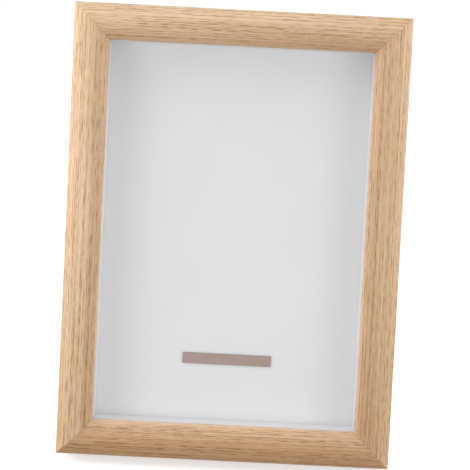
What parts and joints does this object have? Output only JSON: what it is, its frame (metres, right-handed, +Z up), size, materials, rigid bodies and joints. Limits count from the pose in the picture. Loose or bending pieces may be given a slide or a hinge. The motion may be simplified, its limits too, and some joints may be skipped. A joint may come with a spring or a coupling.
{
  "type": "medal display frame",
  "caption": "Oak box frame with a shallow white interior behind glass and a blank title plate, standing on a hinged rear strut, with turn buttons and a ring hanger.",
  "frame": {"origin": "on the table, under the middle of the bounding box", "axes": "+Z up, -Y out of the glazed front, +X to the right seen from the front; the frame leans back 14 degrees"},
  "size_m": [0.178, 0.0998, 0.2386],
  "materials": {
    "oak": "light oak with a matte clear finish",
    "glass": "clear polished float glass",
    "white_card": "smooth matte white card",
    "title_plate": "taupe anodised, matte, blank",
    "fibreboard": "pressed brown fibreboard, one smooth side",
    "steel": "zinc-plated pressed steel"
  },
  "bodies": {
    "frame": {"rail_bottom": "oak", "rail_right": "oak", "rail_top": "oak", "rail_left": "oak", "corner_nail_bottom_left": "steel", "corner_nail_bottom_right": "steel", "corner_nail_top_right": "steel", "corner_nail_top_left": "steel", "glazing": "glass", "spacer_bottom": "white_card", "spacer_top": "white_card", "spacer_left": "white_card", "spacer_right": "white_card", "mount_board": "white_card", "title_plate": "title_plate", "back_board": "fibreboard", "turn_screw_right_lower": "steel", "turn_screw_right_upper": "steel", "turn_screw_left_lower": "steel", "turn_screw_left_upper": "steel", "strut_board_leaf": "steel", "strut_pin": "steel", "board_rivet_left": "steel", "board_rivet_right": "steel", "hanger_strap": "steel", "hanger_rivet": "steel"},
    "strut": {"strut_leg": "fibreboard", "strut_leg_leaf": "steel", "leg_rivet_left": "steel", "leg_rivet_right": "steel"},
    "ring": {"hanger_ring": "steel"},
    "button_right_lower": {"turn_button_right_lower": "steel"},
    "button_right_upper": {"turn_button_right_upper": "steel"},
    "button_left_lower": {"turn_button_left_lower": "steel"},
    "button_left_upper": {"turn_button_left_upper": "steel"}
  },
  "joints": [
    {"name": "strut_hinge", "type": "hinge", "parent": "frame", "child": "strut", "pos_m": [0, 0.01692, 0.14972], "axis": [1, 0, 0], "range_deg": [-26, 0]},
    {"name": "ring_swing", "type": "hinge", "parent": "frame", "child": "ring", "pos_m": [0, 0.03037, 0.20532], "axis": [1, 0, 0], "range_deg": [-13, 166]},
    {"name": "button_right_lower_turn", "type": "hinge", "parent": "frame", "child": "button_right_lower", "pos_m": [0.0795, -0.00791, 0.058], "axis": [0, 0.9703, -0.2419], "continuous": true},
    {"name": "button_right_upper_turn", "type": "hinge", "parent": "frame", "child": "button_right_upper", "pos_m": [0.0795, 0.02112, 0.17444], "axis": [0, 0.9703, -0.2419], "continuous": true},
    {"name": "button_left_lower_turn", "type": "hinge", "parent": "frame", "child": "button_left_lower", "pos_m": [-0.0795, -0.00791, 0.058], "axis": [0, 0.9703, -0.2419], "continuous": true},
    {"name": "button_left_upper_turn", "type": "hinge", "parent": "frame", "child": "button_left_upper", "pos_m": [-0.0795, 0.02112, 0.17444], "axis": [0, 0.9703, -0.2419], "continuous": true}
  ]
}
